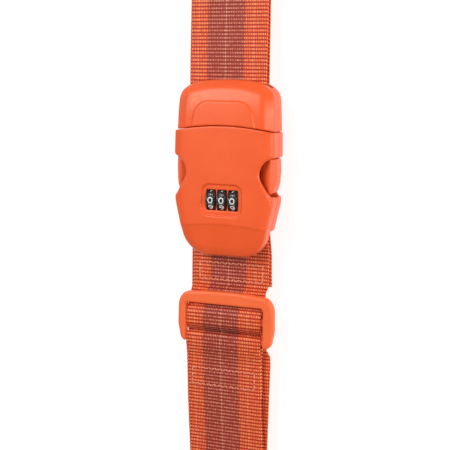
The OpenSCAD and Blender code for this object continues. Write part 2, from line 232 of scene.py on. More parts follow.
def webbing_material(name):
    """Ribbed webbing: orange with a brownish band down the middle and light warp yarns, with painted
    highlights on the rib crests and painted shade in the grooves, in the gaps between yarns and along the
    rows of stitches.

    The mesh's weave attribute holds the place across and along the webbing in millimetres, and how near a row
    of stitches it lies, for the painted shade there.
    """
    m = Nodes(name)
    attribute = m.add("ShaderNodeAttribute", attribute_name="weave")
    split = m.add("ShaderNodeSeparateXYZ")
    m.link(attribute.outputs["Vector"], split.inputs[0])
    across, along, pucker_shade = split.outputs

    rib = m.value("MULTIPLY", along, 1 / RIB)
    in_rib = m.value("ABSOLUTE", m.value("SUBTRACT", m.value("FRACT", rib), 0.5))
    # Masks for painted shade in the grooves between ribs and, further down, in the gaps between yarns.
    groove_shade = m.ramp(in_rib, 0.28, 0.46)
    yarn = m.value("MULTIPLY", across, 1 / YARN)
    in_yarn = m.value("ABSOLUTE", m.value("SUBTRACT", m.value("FRACT", yarn), 0.5))
    gap_shade = m.ramp(in_yarn, 0.24, 0.45)

    cell = m.add("ShaderNodeCombineXYZ")
    m.link(m.value("FLOOR", yarn), cell.inputs[0])
    m.link(m.value("FLOOR", rib), cell.inputs[1])
    tone = m.add("ShaderNodeTexWhiteNoise", noise_dimensions="2D")
    m.link(cell.outputs[0], tone.inputs["Vector"])

    distance = m.value("ABSOLUTE", m.value("SUBTRACT", across, BAND_X))
    band = m.ramp(distance, BAND / 2 - BAND_BLUR, BAND / 2 + BAND_BLUR, 1.0, 0.0)
    colour = m.mix(band, ORANGE_YARN, BROWN_YARN)
    # Painted highlight: a lighter spot on the crest of each rib over each yarn, stronger or weaker at random
    # from cell to cell.
    crest_highlight = m.value("MULTIPLY", m.ramp(in_rib, 0.06, 0.26, 1.0, 0.0), m.ramp(in_yarn, 0.1, 0.32, 1.0, 0.0))
    crest_highlight = m.value("MULTIPLY", crest_highlight, m.ramp(tone.outputs["Value"], 0.0, 1.0, 0.35, 1.0))
    colour = m.mix(crest_highlight, colour, m.mix(band, ORANGE_CREST_HIGHLIGHT, BROWN_CREST_HIGHLIGHT))

    side_line = m.value("ABSOLUTE", m.value("SUBTRACT", distance, LIGHT_YARN))
    near_line = m.value("MINIMUM", distance, side_line)
    light = m.value("MULTIPLY", m.ramp(near_line, 0.3, 0.55, 1.0, 0.0), m.ramp(in_rib, 0.1, 0.35, 1.0, 0.2))
    colour = m.mix(m.value("MULTIPLY", light, 0.6), colour, LINE_YARN)

    # Painted shade: darker in the grooves, in the gaps between yarns and along the rows of stitches.
    painted_shade = m.value("MAXIMUM", m.value("MULTIPLY", groove_shade, 0.95), m.value("MULTIPLY", gap_shade, 0.88))
    painted_shade = m.value("MAXIMUM", painted_shade, m.value("MULTIPLY", pucker_shade, 0.75))
    m.link(m.mix(painted_shade, colour, GROOVE_SHADE), m.shader.inputs["Base Color"])

    round_yarn = m.value("SQRT", m.value("SUBTRACT", 0.26, m.value("MULTIPLY", in_yarn, in_yarn)))
    spread = m.add("ShaderNodeVectorMath", operation="MULTIPLY")
    m.link(attribute.outputs["Vector"], spread.inputs[0])
    spread.inputs[1].default_value = (9.0, 2.2, 1.0)
    fibre = m.noise(spread.outputs[0], scale=1.0, detail=3.0)
    m.bump(m.value("ADD", round_yarn, m.value("MULTIPLY", fibre, 0.2)), strength=0.7, distance=0.0004)
    m.set(Roughness=0.55, Sheen_Weight=0.1, Sheen_Roughness=0.4, IOR=1.45)
    return m.material


def thread_material(name, colour):
    """Twisted thread."""
    m = Nodes(name)
    place = m.add("ShaderNodeTexCoord").outputs["Object"]
    wave = m.add("ShaderNodeTexWave", Scale=900.0, Distortion=1.0, bands_direction="DIAGONAL")
    m.link(place, wave.inputs["Vector"])
    shade = tuple(c * 0.6 for c in colour)
    m.link(m.mix(wave.outputs["Fac"], shade, colour), m.shader.inputs["Base Color"])
    m.bump(wave.outputs["Fac"], strength=0.5, distance=0.00008)
    m.set(Roughness=0.6)
    return m.material


orange = plastic("orange_plastic", (0.86, 0.108, 0.022), (0.83, 0.097, 0.019), roughness=0.36, gloss=WARM)
orange_slider = plastic("orange_slider_plastic", (0.90, 0.150, 0.042), (0.88, 0.136, 0.036), roughness=0.46,
                        gloss=WARM)
black = plastic("black_plastic", (0.022, 0.021, 0.021), (0.014, 0.014, 0.014), roughness=0.24)
white_ink = plastic("white_ink", (0.85, 0.85, 0.84), (0.75, 0.75, 0.74), roughness=0.5, grain=0.00001)
steel_material = steel("pressed_steel")
webbing = webbing_material("ribbed_webbing")
thread = thread_material("orange_thread", (0.95, 0.31, 0.18))


# ---------------------------------------------------------------- solids from distance fields
def union(a, b, r=0.0):
    """Both solids, with a fillet of radius r where they meet."""
    if r == 0:
        return np.minimum(a, b)
    return np.maximum(r, np.minimum(a, b)) - np.hypot(np.maximum(r - a, 0), np.maximum(r - b, 0))


def overlap(a, b, r=0.0):
    """What both solids share, with edges rounded to radius r."""
    return -union(-a, -b, r)


def cut(a, b, r=0.0):
    """Solid a without solid b, with edges rounded to radius r."""
    return overlap(a, -b, r)


def hull_of(circles, steps=360):
    """The outline round circles (x, y, r), as points."""
    turns = np.radians(np.arange(steps) * 360 / steps)
    n = np.stack([np.cos(turns), np.sin(turns)], 1)
    c = np.array(circles, float)
    reach = n @ c[:, :2].T + c[:, 2]
    best = reach.argmax(1)
    return c[best, :2] + n * c[best, 2:3]


def mirrored(circles):
    """Circles (x, y, r) with their images on the other side of X = 0."""
    return [*circles, *[(-x, y, r) for x, y, r in circles]]


class Field:
    """A box of sample points, in millimetres."""

    def __init__(self, lo, hi, step):
        lo, hi = np.array(lo, float) - 2 * step, np.array(hi, float) + 2 * step
        n = np.ceil((hi - lo) / step).astype(int) + 1
        self.lo, self.step = lo, step
        axes = [lo[i] + step * np.arange(n[i]) for i in range(3)]
        self.x, self.y, self.z = np.meshgrid(*axes, indexing="ij", sparse=True)

    def outline(self, points):
        """Distance to a closed outline in X and Y, negative inside."""
        p = np.stack(np.broadcast_arrays(self.x[:, :, 0], self.y[:, :, 0]), -1)
        d = np.full(p.shape[:2], 1e9)
        inside = np.zeros(p.shape[:2], bool)
        for a, b in zip(points, np.roll(points, -1, 0)):
            e, w = b - a, p - a
            if e @ e < 1e-12:
                continue
            t = np.clip((w @ e) / (e @ e), 0, 1)
            d = np.minimum(d, ((w - t[..., None] * e) ** 2).sum(-1))
            crosses = (a[1] > p[..., 1]) != (b[1] > p[..., 1])
            slope = (b[0] - a[0]) / (b[1] - a[1]) if a[1] != b[1] else 0.0
            inside ^= crosses & (p[..., 0] < a[0] + slope * (p[..., 1] - a[1]))
        return (np.sqrt(d) * np.where(inside, -1, 1))[:, :, None]

    def rect(self, x, y, half_w, half_l, r=0.0):
        """Distance to a rectangle with rounded corners, at every height."""
        qx, qy = abs(self.x - x) - half_w + r, abs(self.y - y) - half_l + r
        return np.hypot(np.maximum(qx, 0), np.maximum(qy, 0)) + np.minimum(np.maximum(qx, qy), 0) - r

    def disc(self, x, y, r):
        """Distance to an upright cylinder."""
        return np.hypot(self.x - x, self.y - y) - r

    def band(self, low, high):
        """Distance to the layer between two heights."""
        return abs(self.z - (low + high) / 2) - (high - low) / 2


def sample(f, p):
    """The field's value at points p, in grid units, between samples."""
    i = np.clip(np.floor(p).astype(int), 0, np.array(f.shape) - 2)
    t = p - i
    total = 0
    for dx in (0, 1):
        for dy in (0, 1):
            for dz in (0, 1):
                corner = np.array((dx, dy, dz))
                weight = np.where(corner, t, 1 - t).prod(1)
                total = total + weight * f[tuple((i + corner).T)]
    return total


PULLS = 4
REACH = 0.3
MOST_PULL = 0.4


def surface(f):
    """The quads of the field's zero surface: a point in each cell that it crosses, drawn onto it."""
    solid = f < 0
    cells = np.array(f.shape) - 1
    total, count = np.zeros((*cells, 3)), np.zeros(cells)
    faces_of = []
    for axis in range(3):
        a = np.take(f, range(f.shape[axis] - 1), axis)
        b = np.take(f, range(1, f.shape[axis]), axis)
        i, j, k = np.nonzero((a < 0) != (b < 0))
        where = np.stack([i, j, k], 1).astype(float)
        where[:, axis] += a[i, j, k] / (a[i, j, k] - b[i, j, k])
        u, v = [n for n in range(3) if n != axis]
        base = np.stack([i, j, k], 1)
        corners = []
        for du, dv in ((0, 0), (1, 0), (1, 1), (0, 1)):
            c = base.copy()
            c[:, u] -= du
            c[:, v] -= dv
            corners.append(c)
            np.add.at(total, tuple(c.T), where)
            np.add.at(count, tuple(c.T), 1)
        flip = solid[i, j, k] ^ (axis == 1)
        faces_of.append((corners, flip))
    used = count > 0
    number = np.full(cells, -1)
    number[used] = np.arange(used.sum())
    points = total[used] / count[used][:, None]
    faces = []
    for corners, flip in faces_of:
        quad = np.stack([number[tuple(c.T)] for c in corners], 1)
        quad[flip] = quad[flip][:, ::-1]
        faces.append(quad)
    faces = np.concatenate(faces)[:, ::-1]
    for _ in range(PULLS):
        value = sample(f, points)
        rise = [sample(f, points + d) - sample(f, points - d) for d in np.eye(3) * REACH]
        slope = np.stack(rise, 1) / (2 * REACH)
        move = slope * (value / np.maximum((slope ** 2).sum(1), 0.05))[:, None]
        points = points - np.clip(move, -MOST_PULL, MOST_PULL)
    return points, faces


def new_object(name, points, faces, material, smooth=True):
    mesh = bpy.data.meshes.new(name)
    mesh.from_pydata([tuple(p) for p in points], [], [tuple(int(i) for i in f) for f in faces])
    mesh.validate()
    if smooth:
        mesh.shade_smooth()
    mesh.materials.append(material)
    obj = bpy.data.objects.new(name, mesh)
    bpy.context.scene.collection.objects.link(obj)
    return obj


def face_outwards(obj):
    """Turns every face of a closed mesh outwards."""
    bm = bmesh.new()
    bm.from_mesh(obj.data)
    bmesh.ops.recalc_face_normals(bm, faces=bm.faces)
    bm.to_mesh(obj.data)
    bm.free()


def solid(name, field, f, material):
    """A piece from a distance field."""
    f = np.ascontiguousarray(np.broadcast_to(f, (field.x.size, field.y.size, field.z.size)))
    points, faces = surface(f)
    return new_object(name, (points * field.step + field.lo) * MM, faces, material)


def settle(obj, body, slot, *replaced):
    """Rides a piece on its body, and hides the CAD nodes that it stands for; slot is not used."""
    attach(obj, body)
    if replaced:
        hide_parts(*replaced)
    return obj


# ---------------------------------------------------------------- buckle case
STEP = 0.5
CROWN = 0.7
SPLIT_GAP = 0.08


def socket_outline(field):
    """The socket's edge, seen from the front."""
    circles = [(10.6, CASE_LOW + 17, 17), (CASE_HALF - 8.6, 19, 8), (CASE_HALF - 1, 41, 1),
               (CASE_HALF - 1, 45, 1), (CASE_HALF - 1.5, 70, 1)]
    return field.outline(hull_of(mirrored(circles)))


def plug_outline(field):
    """The plug's edge, seen from the front, with its arched far end."""
    circles = [(CASE_HALF - 16.5, CASE_HIGH - 15, 15), (PLUG_HALF - 1, 62, 1), (PLUG_HALF - 1, 45, 1)]
    edge = field.outline(hull_of(mirrored(circles)))
    return overlap(edge, field.disc(0, CASE_HIGH - PLUG_END_R, PLUG_END_R), 4.0)


def windows(field):
    """The finger openings on both sides."""
    points = hull_of([(CASE_HALF + 1.2, 36.2, 10), (CASE_HALF - 1, 23.7, 1.5), (CASE_HALF + 7, 37, 1),
                      (CASE_HALF + 7, 44, 1)])
    return np.minimum(field.outline(points), field.outline(points * [-1, 1]))


def seam(field):
    """The socket's side of the curved seam between socket and plug."""
    return field.disc(0, SEAM_Y - SEAM_R, SEAM_R)


def crown(field):
    """How far the front face falls towards its sides."""
    return CROWN * (field.x / CASE_HALF) ** 2


def socket_top(field):
    """Height of the front face: slightly crowned, and sloping away below the crease."""
    crease = 5.2 - 2.6 * (field.x / 29) ** 2
    below = crease - field.y
    slope = 0.5 * (below + np.sqrt(below ** 2 + 0.04)) * 0.19 + 0.3 * np.clip(below / 0.7, 0, 1)
    return CASE_TOP - 0.05 - crown(field) - slope


def bevelled(field, edge, top, depth, ridge=1.6):
    """A block under the height top, with a sloping shoulder all round its outline."""
    shoulder = 0.5 * edge + 0.866 * (field.z - top) + depth
    return overlap(overlap(edge, field.z - top, 1.0), shoulder, ridge)


def socket_front():
    """Front half of the socket, with the finger openings, the dish round the dials and their three slots."""
    field = Field(front_lo, front_hi, STEP)
    edge, top = socket_outline(field), socket_top(field)
    outer = overlap(bevelled(field, edge, top, 1.7), seam(field), 0.5)
    outer = np.maximum(outer, SPLIT_Z + SPLIT_GAP - field.z)
    inner = overlap(edge + WALL + 0.6, field.z - top + 2.9, 3.2)
    shell = cut(outer, inner)
    shell = cut(shell, windows(field), 1.3)
    dish = np.maximum(field.rect(0, DIAL_Y, 13, 9.6, 5), top - 1.2 - field.z)
    shell = cut(shell, dish, 0.7)
    for i in (-1, 0, 1):
        shell = cut(shell, field.rect(i * DIAL_STEP, DIAL_Y, DIAL_W / 2 + 0.3, 6.3, 0.3), 0.15)
    piece = solid("socket_front_moulding", field, shell, orange)
    settle(piece, "strap_and_socket", "buckle_plastic", "socket_front_shell")


def socket_rear():
    """Rear half of the socket, with the reset hole and the four screw posts."""
    field = Field(rear_lo, rear_hi, STEP)
    edge = socket_outline(field)
    outer = overlap(overlap(edge, CASE_Z - field.z, 1.2), seam(field), 0.4)
    outer = np.maximum(outer, field.z - SPLIT_Z + SPLIT_GAP)
    shell = cut(outer, np.maximum(edge + WALL, CASE_Z + WALL - field.z), 0.0)
    shell = cut(shell, windows(field), 0.8)
    shell = cut(shell, field.y - 1.0, 0.4)
    shell = cut(shell, field.disc(-20, 13, 2.05), 0.3)
    for x, y in ((26, 11.5), (-26, 11.5), (18, 54), (-18, 54)):
        post = np.maximum(field.disc(x, y, 2.8), field.band(CASE_Z, SPLIT_Z - 0.1))
        head = np.maximum(field.disc(x, y, 2.15), field.z - CASE_Z - 3.6)
        shell = cut(np.minimum(shell, post), head, 0.3)
        shell = cut(shell, field.disc(x, y, 1.25))
    piece = solid("socket_rear_moulding", field, shell, orange)
    settle(piece, "strap_and_socket", "buckle_plastic", "socket_rear_shell")


def plug_top(field):
    """Height of the plug's front face: crowned, and falling away towards its far end."""
    past = (field.y - 73) / 18
    fall = 0.5 * (past + np.sqrt(past ** 2 + 0.12))
    return CASE_TOP - 1.0 - crown(field) - 3.6 * fall ** 1.5


def plug_front():
    """Front cover of the plug, with the raised arch panel."""
    field = Field(plug_lo, plug_hi, STEP)
    edge, top = plug_outline(field), plug_top(field)
    outer = bevelled(field, edge + 0.05 * np.maximum(field.z - SPLIT_Z, 0), top, 2.9, 0.9)
    arch = field.outline(hull_of(mirrored([(9.6, 69.6, 9.6), (20.4, 52, 1), (19.6, 64, 1)])))
    face = CASE_TOP - 0.1 - crown(field) - 0.0012 * np.maximum(field.y - 58, 0) ** 2
    panel = overlap(arch, field.z - face, 1.0)
    outer = union(outer, np.maximum(panel, CASE_TOP - 6 - field.z), 0.35)
    outer = overlap(outer, SEAM_GAP - seam(field), 0.5)
    outer = np.maximum(outer, SPLIT_Z + SPLIT_GAP - field.z)
    inner = overlap(edge + WALL + 0.6, field.z - top + 3.0, 4.5)
    shell = cut(outer, inner)
    settle(solid("plug_front_moulding", field, shell, orange), "plug", "buckle_plastic", "plug_front_cover")


def plug_rear():
    """Rear cover of the plug, with the webbing's mouth and two screw holes."""
    field = Field(plug_rear_lo, (plug_hi[0], CASE_HIGH, SPLIT_Z), STEP)
    edge = plug_outline(field)
    outer = overlap(overlap(edge, CASE_Z - field.z, 1.2), SEAM_GAP - seam(field), 0.4)
    outer = np.maximum(outer, field.z - SPLIT_Z + SPLIT_GAP)
    shell = cut(outer, np.maximum(edge + WALL, CASE_Z + WALL - field.z))
    mouth = np.maximum(np.maximum(abs(field.x) - WEB_W / 2 - 1.6, 78 - field.y), CASE_Z + WALL - field.z)
    shell = cut(shell, mouth, 0.3)
    for s in (-1, 1):
        shell = cut(shell, field.disc(s * 18.5, 67, 2.15), 0.2)
    settle(solid("plug_rear_moulding", field, shell, orange), "plug", "buckle_plastic", "plug_rear_cover")


BUTTON = [(23.3, 44.4), (24.5, 45.5), (31.5, 45.5), (32.2, 44.8), (32.4, 38), (32.1, 31.6), (31.2, 27.2),
          (29.9, 24.7), (28.1, 23.8), (25.9, 25.2), (23.9, 30), (23.3, 34)]
BUTTON_LIP = [(21.9, 43.8), (26, 45.5), (29, 45.5), (29, 24), (26.5, 24.2), (23.6, 26.6), (22.1, 30.5),
              (21.8, 37)]
LUG = [(24.7, 29.9), (23.7, 29.9), (20.6, 31.2), (20.3, 33), (21.3, 36), (24.7, 36)]
LUG_Z = (11.3, 13.3)
BEAM_Z = (12.7, 18.7)
ARM_X, ARM_Y = 25.6, 67
RIDGE_X = 29.0
LIP_Z = 17.2


def latch_arm(name, side, body, node):
    """One arm: the beam from its root, the button in the window, and the lug that works the slide."""
    lo, hi = arm_lo, arm_hi
    if side < 0:
        lo, hi = np.array([-arm_hi[0], *arm_lo[1:]]), np.array([-arm_lo[0], *arm_hi[1:]])
    field = Field(lo, hi, STEP)
    x = field.x * side
    flip = [side, 1]
    top = arm_hi[2] + 0.2 - 0.34 * np.maximum(RIDGE_X - x, 0) - 0.7 * np.maximum(x - RIDGE_X, 0)
    block = overlap(field.outline(np.array(BUTTON) * flip), field.z - top, 0.9)
    button = overlap(block, arm_lo[2] + 0.1 - field.z, 0.6)
    lip = overlap(field.outline(np.array(BUTTON_LIP) * flip), field.z - top, 0.8)
    button = union(button, overlap(lip, LIP_Z - field.z, 0.6), 0.4)
    beam_edge = np.maximum(abs(x - ARM_X) - 1.4, abs(field.y - 55.5) - 11.5)
    beam_edge = np.minimum(beam_edge, field.disc(ARM_X * side, ARM_Y, 2.2))
    beam = overlap(beam_edge, field.band(*BEAM_Z), 0.5)
    lug = overlap(field.outline(np.array(LUG) * flip), field.band(*LUG_Z), 0.2)
    f = union(union(button, beam, 1.0), lug)
    settle(solid(name, field, f, orange), body, "buckle_plastic", node)


socket_front()
socket_rear()
plug_front()
plug_rear()
latch_arm("right_button_arm", 1, "right_arm", "latch_arm_right")
latch_arm("left_button_arm", -1, "left_arm", "latch_arm_left")


# ---------------------------------------------------------------- slider
SLIDER_X = (slider_lo[0] + slider_hi[0]) / 2
OPENING_X = -1.0
OPENING_HALF = WEB_W / 2 + 0.9
SLIDER_END_R = 190
RAIL_R = 1.9
BAR_HALF = 26.6


def slider():
    """The three-bar slider: a rounded frame with its middle and bottom bars set low."""
    field = Field(slider_lo, slider_hi, STEP)
    field.x = field.x - SLIDER_X
    half = slider_hi[0] - SLIDER_X
    low, high = slider_lo[1], slider_hi[1]
    circles = mirrored([(half - 11.2, high - 11, 11), (half - 6, high - 22, 6), (half - 6.4, low + 5, 5)])
    edge = overlap(field.outline(hull_of(circles)), field.disc(0, high - SLIDER_END_R, SLIDER_END_R), 1.0)
    rails = overlap(edge, field.band(slider_lo[2], slider_hi[2]), RAIL_R)
    rails = cut(rails, field.rect(OPENING_X, -64.2, OPENING_HALF, 16.8, 2.0), 1.2)
    across = abs(field.x - OPENING_X) - BAR_HALF
    bar = slider_lo[2] + 0.2
    middle = overlap(np.maximum(across, abs(field.y + 57) - 2.5), field.band(bar, bar + 3.0), 0.9)
    bottom = np.maximum(across, abs(field.y - low - 3.4) - 2.1)
    bottom = overlap(bottom, field.band(slider_lo[2] + 0.5, slider_lo[2] + 3.6), 1.2)
    f = union(union(rails, middle, 0.8), bottom, 0.8)
    settle(solid("slider_moulding", field, f, orange_slider), "strap_and_socket", "buckle_plastic", "slider")


slider()


# ---------------------------------------------------------------- webbing
def ease(p, q, n=8):
    """Points (y, z) from p to q, level at both ends."""
    steps = np.linspace(0, 1, n + 1)
    return [(p[0] + (q[0] - p[0]) * u, p[1] + (q[1] - p[1]) * u * u * (3 - 2 * u)) for u in steps]


def turn(c, r, a, b, n=16):
    """Points (y, z) on an arc round c, from a to b degrees."""
    angles = np.radians(np.linspace(a, b, n + 1))
    return [(c[0] + r * math.cos(t), c[1] + r * math.sin(t)) for t in angles]


def resample(path, spacing):
    """Even steps along a path of (y, z, x)."""
    p = np.array(path, float)
    s = np.concatenate([[0], np.cumsum(np.hypot(*(np.diff(p[:, :2], axis=0).T)))])
    n = max(2, round(s[-1] / spacing))
    at = np.linspace(0, s[-1], n + 1)
    return np.stack([np.interp(at, s, p[:, i]) for i in range(3)], 1), at, s[-1]


def shifted(points, a, b=None):
    """Adds the sideways place, from a at the first point to b at the last."""
    b = a if b is None else b
    n = len(points) - 1
    return [(y, z, a + (b - a) * i / max(n, 1)) for i, (y, z) in enumerate(points)]


def soft(p):
    """Takes the corners off a path."""
    for _ in range(2):
        p[1:-1] = (p[:-2] + 2 * p[1:-1] + p[2:]) / 4
    return p


RIB_DEPTH = 0.24
SCALLOP = 0.35
# Painted shade along the rows of stitches on the front face: the height where it starts and how far it
# reaches.
PUCKER_SHADE_Z = 10.5
PUCKER_SHADE_REACH = 1.6
ACROSS = [-1, -0.985, -0.955, -0.88, -0.84, -0.4, 0, 0.4, 0.84, 0.88, 0.955, 0.985, 1]
THICKNESS = [0.3, 0.72, 0.92, 1, 1, 1, 1, 1, 1, 1, 0.92, 0.72, 0.3]


def web(name, path, pucker_shade_rows=()):
    """Ribbed webbing along a path: ribs across both faces, scalloped selvedges and closed ends."""
    line, at, length = resample(path, RIB / 5)
    line = soft(line)
    direction = np.gradient(line[:, :2], axis=0)
    direction /= np.linalg.norm(direction, axis=1)[:, None]
    normal = np.stack([-direction[:, 1], direction[:, 0]], 1)
    ridge = np.sqrt(abs(np.sin(np.pi * at / RIB)))
    half_t = WEB_T / 2 - RIB_DEPTH * (1 - ridge)
    half_w = WEB_W / 2 - SCALLOP * (1 - ridge)
    front = list(zip(ACROSS, THICKNESS))
    loop = front + [(u, -k) for u, k in front[::-1]]
    n, m = len(line), len(loop)
    points, weave = np.zeros((n, m, 3)), np.zeros((n, m, 3))
    for j, (u, k) in enumerate(loop):
        points[:, j, 0] = line[:, 2] + u * half_w
        points[:, j, 1] = line[:, 0] + normal[:, 0] * k * half_t
        points[:, j, 2] = line[:, 1] + normal[:, 1] * k * half_t
        weave[:, j, 0] = u * WEB_W / 2
        weave[:, j, 1] = at
        # Painted shade near each row of stitches, on the front face only.
        if k > 0.9 and abs(u) < 0.86:
            for row in pucker_shade_rows:
                near = np.clip(PUCKER_SHADE_REACH - abs(line[:, 0] - row), 0, 1) * (line[:, 1] > PUCKER_SHADE_Z)
                weave[:, j, 2] = np.maximum(weave[:, j, 2], near)
    faces = []
    for i in range(n - 1):
        for j in range(m):
            a, b = i * m + j, i * m + (j + 1) % m
            faces.append((a, b, b + m, a + m))
    faces.append(tuple(range(m))[::-1])
    faces.append(tuple((n - 1) * m + j for j in range(m)))
    obj = new_object(name, points.reshape(-1, 3) * MM, faces, webbing)
    attribute = obj.data.attributes.new("weave", "FLOAT_VECTOR", "POINT")
    attribute.data.foreach_set("vector", weave.reshape(-1).astype(np.float32))
    face_outwards(obj)
    return obj, length * MM


SEWN = WEB_T + 0.1
STACK_TOP = (RUNS - 1) * LAYER + WEB_T
TAIL_Z = STACK_TOP + 0.75 + WEB_T / 2
SEWN_LOW = TAIL_Z + 4.05
UNDER_RAIL = slider_lo[2] - 0.05 - WEB_T / 2
OVER_BAR = slider_lo[2] + 3.2 + 0.05 + WEB_T / 2
WRAP_Z = slider_lo[2] + 0.5 + 1.55
WRAP_R = 1.55 + 0.05 + WEB_T / 2
LOW_BAR_Y = slider_lo[1] + 3.4
FOLD_Y = FRONT_Y - 6
LOW_Z = SEWN_LOW - 0.4
OUTER_R = (LOW_Z - WEB_T / 2) / 2


def run_z(i):
    """Height of run i, where run 1 lies next to the buckle."""
    return WEB_T / 2 + (RUNS - i) * LAYER


def run_x(i):
    """Sideways place of run i."""
    return -1.8 - 0.7 * i


def rows_of(node):
    """Where a box of stitches has its two rows."""
    lo, hi = box_mm(node)
    return lo[1] + 0.3, hi[1] - 0.3


def adjuster():
    """From the sewn loop in the socket, over the slider's middle bar, to the free tail."""
    sewn = TAIL_Z + SEWN
    path = shifted([(-34.4, TAIL_Z), (-16, TAIL_Z)], 2.3, 1.8)
    path += shifted(ease((-15, TAIL_Z), (SOCKET_BAR_Y, BAR_Z - LOOP_R)), 1.8, 0.6)
    path += shifted(turn((SOCKET_BAR_Y, BAR_Z), LOOP_R, -75, 75), 0.6)
    path += shifted(ease((SOCKET_BAR_Y, BAR_Z + LOOP_R), (-15, sewn)), 0.6)
    path += shifted(ease((-34.8, sewn), (-38.6, UNDER_RAIL), 4), 0.6, -1.4)
    path += shifted(ease((-45.6, UNDER_RAIL), (-54.2, OVER_BAR), 9), -2.9, -2.9)
    path += shifted(ease((-59.8, OVER_BAR), (-67.2, TAIL_Z), 7), -2.9, -3.9)
    path += shifted([(-70, TAIL_Z), (-79, TAIL_Z)], -3.4, 2.0)
    path += shifted([(-84, TAIL_Z), (-142, TAIL_Z)], 2.2, 1.0)
    obj, length = web("webbing_adjuster", path, pucker_shade_rows=rows_of("stitches_socket_loop"))
    settle(obj, "strap_and_socket", "webbing", "strap_adjuster")


def hank():
    """The spare webbing behind the buckle, the lower fold, the lower front run and the loop on the slider."""
    low = OUTER_R + WEB_T / 2 - FRONT_Y
    path = shifted([(-106, SEWN_LOW - SEWN)], -2.2)
    path += shifted(ease((-84, SEWN_LOW - SEWN), (LOW_BAR_Y - 2.2, WRAP_Z - WRAP_R), 6), -2.6, -2.7)
    path += shifted(turn((LOW_BAR_Y + 0.6, WRAP_Z), WRAP_R, -80, 80), -2.7)
    path += shifted(ease((LOW_BAR_Y - 2.2, WRAP_Z + WRAP_R), (-84, SEWN_LOW), 6), -2.8, -2.9)
    path += shifted(ease((-108, SEWN_LOW), (low, LOW_Z), 6), -2.2, -0.4)
    path += shifted(turn((low, LOW_Z - OUTER_R), OUTER_R, 100, 269), -0.4, -4.9)
    for i in range(RUNS, 1, -1):
        up = (RUNS - i) % 2 == 0
        start, end = (-FOLD_Y, FOLD_Y) if up else (FOLD_Y, -FOLD_Y)
        start = low + 4 if i == RUNS else start
        path += shifted([(start, run_z(i)), (end, run_z(i))], run_x(i))
        middle = (run_z(i) + run_z(i - 1)) / 2
        sweep = (-90, 90) if up else (270, 90)
        x = (run_x(i) + run_x(i - 1)) / 2
        path += shifted(turn((end, middle), LAYER / 2, *sweep, 8), x)
    obj, length = web("webbing_hank", path, pucker_shade_rows=rows_of("stitches_slider_loop"))
    settle(obj, "strap_and_socket", "webbing", "strap_main")


def plug_end():
    """The loop sewn in the plug, the upper front run, the upper fold and the first run behind the buckle."""
    top_z = BAR_Z - 1.3
    radius = (top_z - run_z(1)) / 2
    top_y = FRONT_Y - radius - WEB_T / 2
    path = shifted([(87.6, BAR_Z - 0.8)], -1.5)
    path += shifted(ease((81, BAR_Z - 0.8), (PLUG_BAR_Y + 1.3, BAR_Z - LOOP_R), 5), -1.5)
    path += shifted(turn((PLUG_BAR_Y, BAR_Z), LOOP_R, -85, -275), -1.5)
    path += shifted(ease((PLUG_BAR_Y + 1.3, BAR_Z + LOOP_R), (81, BAR_Z + SEWN - 0.8), 5), -1.5)
    path += shifted(ease((92, BAR_Z + SEWN - 0.8), (top_y, top_z), 6), -1.6, -2.0)
    path += shifted(turn((top_y, top_z - radius), radius, 80, -89), -2.0, run_x(1))
    path += shifted([(top_y - 3, run_z(1)), (0.2 - FOLD_Y, run_z(1))], run_x(1))
    obj, length = web("webbing_plug_run", path, pucker_shade_rows=rows_of("stitches_plug_loop"))
    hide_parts("strap_plug_end")
    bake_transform(obj)


hank()
adjuster()
plug_end()


# ---------------------------------------------------------------- stitches
STITCH_R = 0.45
STITCH_SINK = 0.5
ZIGZAG = 0.75
ROW_HALF = 21.0
ROW_PITCH = 1.9
SIDE_PITCH = 3.3


def stitch(points, faces, a, b):
    """A short length of thread from a to b, arched up from its two needle holes."""
    a, b = np.array(a, float), np.array(b, float)
    d = b - a
    side = np.cross(d, (0, 0, 1.0))
    side /= np.linalg.norm(side)
    rings, around = 7, 8
    base = len(points)
    for i in range(rings):
        t = i / (rings - 1)
        arch = math.sin(math.pi * t)
        centre = a + d * t + np.array((0, 0, (STITCH_SINK + 0.12) * arch ** 0.6 - STITCH_SINK))
        r = STITCH_R * (0.55 + 0.45 * arch ** 0.5)
        for j in range(around):
            angle = 2 * math.pi * j / around
            points.append(centre + side * r * math.cos(angle) + np.array((0, 0, r * math.sin(angle))))
    for i in range(rings - 1):
        for j in range(around):
            p, q = base + i * around + j, base + i * around + (j + 1) % around
            faces.append((p, q, q + around, p + around))
    faces.append(tuple(base + j for j in range(around))[::-1])
    faces.append(tuple(base + (rings - 1) * around + j for j in range(around)))


def stitch_box(name, node, x, body):
    """Two rows of zigzag stitch across the webbing and a plain row at each side."""
    z = box_mm(node)[0][2] + 0.02
    y0, y1 = rows_of(node)
    points, faces = [], []
    n = round(2 * ROW_HALF / ROW_PITCH)
    for y in (y0, y1):
        for i in range(n):
            a = x - ROW_HALF + 2 * ROW_HALF * i / n
            lean = ZIGZAG if i % 2 else -ZIGZAG
            stitch(points, faces, (a, y - lean, z), (a + ROW_PITCH * 0.9, y + lean, z))
    n = max(1, round((y1 - y0) / SIDE_PITCH))
    for side in (x - ROW_HALF, x + ROW_HALF):
        for i in range(n):
            a = y0 + (y1 - y0) * i / n
            stitch(points, faces, (side - 0.1, a + 0.2, z), (side + 0.1, a + (y1 - y0) / n, z))
    obj = new_object(name, np.array(points) * MM, faces, thread)
    settle(obj, body, "thread", node)


stitch_box("thread_socket_loop", "stitches_socket_loop", 0.6, "strap_and_socket")
stitch_box("thread_slider_loop", "stitches_slider_loop", -2.8, "strap_and_socket")
stitch_box("thread_plug_loop", "stitches_plug_loop", -1.5, "plug")


# ---------------------------------------------------------------- dials
def oval(x, y, half_w, half_h, n):
    """A closed stroke of n + 1 points round an oval, from its top."""
    angles = np.linspace(0, 2 * math.pi, n + 1)
    return [(x + half_w * math.sin(t), y + half_h * math.cos(t)) for t in angles]


